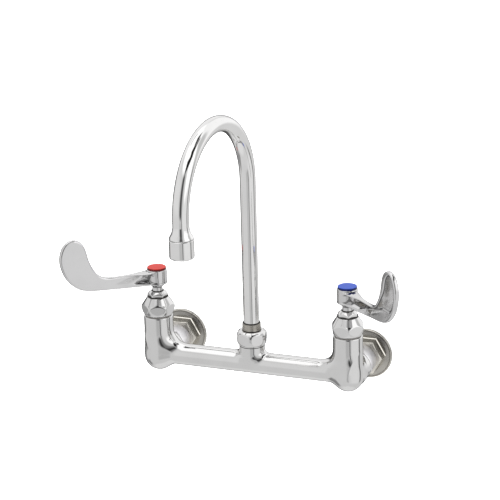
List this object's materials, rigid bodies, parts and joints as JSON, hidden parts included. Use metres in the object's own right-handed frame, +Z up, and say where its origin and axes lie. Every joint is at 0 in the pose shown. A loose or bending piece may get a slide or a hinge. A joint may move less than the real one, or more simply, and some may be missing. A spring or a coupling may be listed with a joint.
{
  "type": "wall-mounted gooseneck mixing faucet",
  "caption": "Wall-mounted two-handle mixing faucet with a swinging gooseneck spout, wrist-blade handles and flanged inlets.",
  "frame": {"origin": "on the wall plane, midway between the two inlets and level with them", "axes": "+X from the hot side to the cold side, +Y into the wall, +Z up; the user stands on the -Y side"},
  "size_m": [0.3518, 0.2209, 0.2986],
  "materials": {
    "chrome": "polished chrome plate",
    "satin_chrome": "chrome plate, less polished",
    "nickel": "rough nickel plate with turning marks",
    "brass": "machined brass",
    "steel": "stainless steel",
    "rubber": "black nitrile rubber",
    "fibre": "red vulcanised fibre",
    "packing": "graphited fluoropolymer packing",
    "acetal": "white acetal",
    "index_red": "glossy red plastic",
    "index_blue": "glossy blue plastic"
  },
  "bodies": {
    "faucet_body": {"body_casting": "chrome", "hot_valve_seat": "brass", "hot_bonnet": "chrome", "hot_bonnet_gasket": "fibre", "hot_packing": "packing", "hot_packing_gland": "brass", "hot_packing_nut": "chrome", "hot_inlet_adapter": "nickel", "hot_inlet_locknut": "satin_chrome", "hot_inlet_washer": "rubber", "cold_valve_seat": "brass", "cold_bonnet": "chrome", "cold_bonnet_gasket": "fibre", "cold_packing": "packing", "cold_packing_gland": "brass", "cold_packing_nut": "chrome", "cold_inlet_adapter": "nickel", "cold_inlet_locknut": "satin_chrome", "cold_inlet_washer": "rubber", "spout_nut": "chrome", "spout_bearing": "acetal"},
    "hot_control": {"hot_handle": "chrome", "hot_handle_screw": "steel", "hot_index_button": "index_red", "hot_stem": "brass"},
    "hot_valve": {"hot_plunger": "brass", "hot_seat_washer": "rubber", "hot_washer_screw": "brass"},
    "cold_control": {"cold_handle": "chrome", "cold_handle_screw": "steel", "cold_index_button": "index_blue", "cold_stem": "brass"},
    "cold_valve": {"cold_plunger": "brass", "cold_seat_washer": "rubber", "cold_washer_screw": "brass"},
    "spout": {"spout_swivel": "nickel", "swivel_rings": "rubber", "spout_tube": "chrome", "outlet_adapter": "chrome", "outlet_sleeve": "chrome", "stream_regulator": "acetal", "outlet_washer": "rubber"}
  },
  "joints": [
    {"name": "hot_handle_turn", "type": "hinge", "parent": "faucet_body", "child": "hot_control", "pos_m": [-0.1016, -0.063, 0.08], "axis": [0, 0, 1], "range_deg": [0, 90]},
    {"name": "hot_plunger_lift", "type": "slide", "parent": "faucet_body", "child": "hot_valve", "axis": [0, 0, 1], "range_m": [0, 0.00315]},
    {"name": "cold_handle_turn", "type": "hinge", "parent": "faucet_body", "child": "cold_control", "pos_m": [0.1016, -0.063, 0.08], "axis": [0, 0, 1], "range_deg": [-90, 0]},
    {"name": "cold_plunger_lift", "type": "slide", "parent": "faucet_body", "child": "cold_valve", "axis": [0, 0, 1], "range_m": [0, 0.00315]},
    {"name": "spout_swing", "type": "hinge", "parent": "faucet_body", "child": "spout", "pos_m": [0, -0.063, 0.03], "axis": [0, 0, 1], "range_deg": [-86.5, 93.5]}
  ],
  "couplings": [
    {"joint": "hot_plunger_lift", "follows": "hot_handle_turn", "m_per_rad": 0.002},
    {"joint": "cold_plunger_lift", "follows": "cold_handle_turn", "m_per_rad": -0.002}
  ]
}
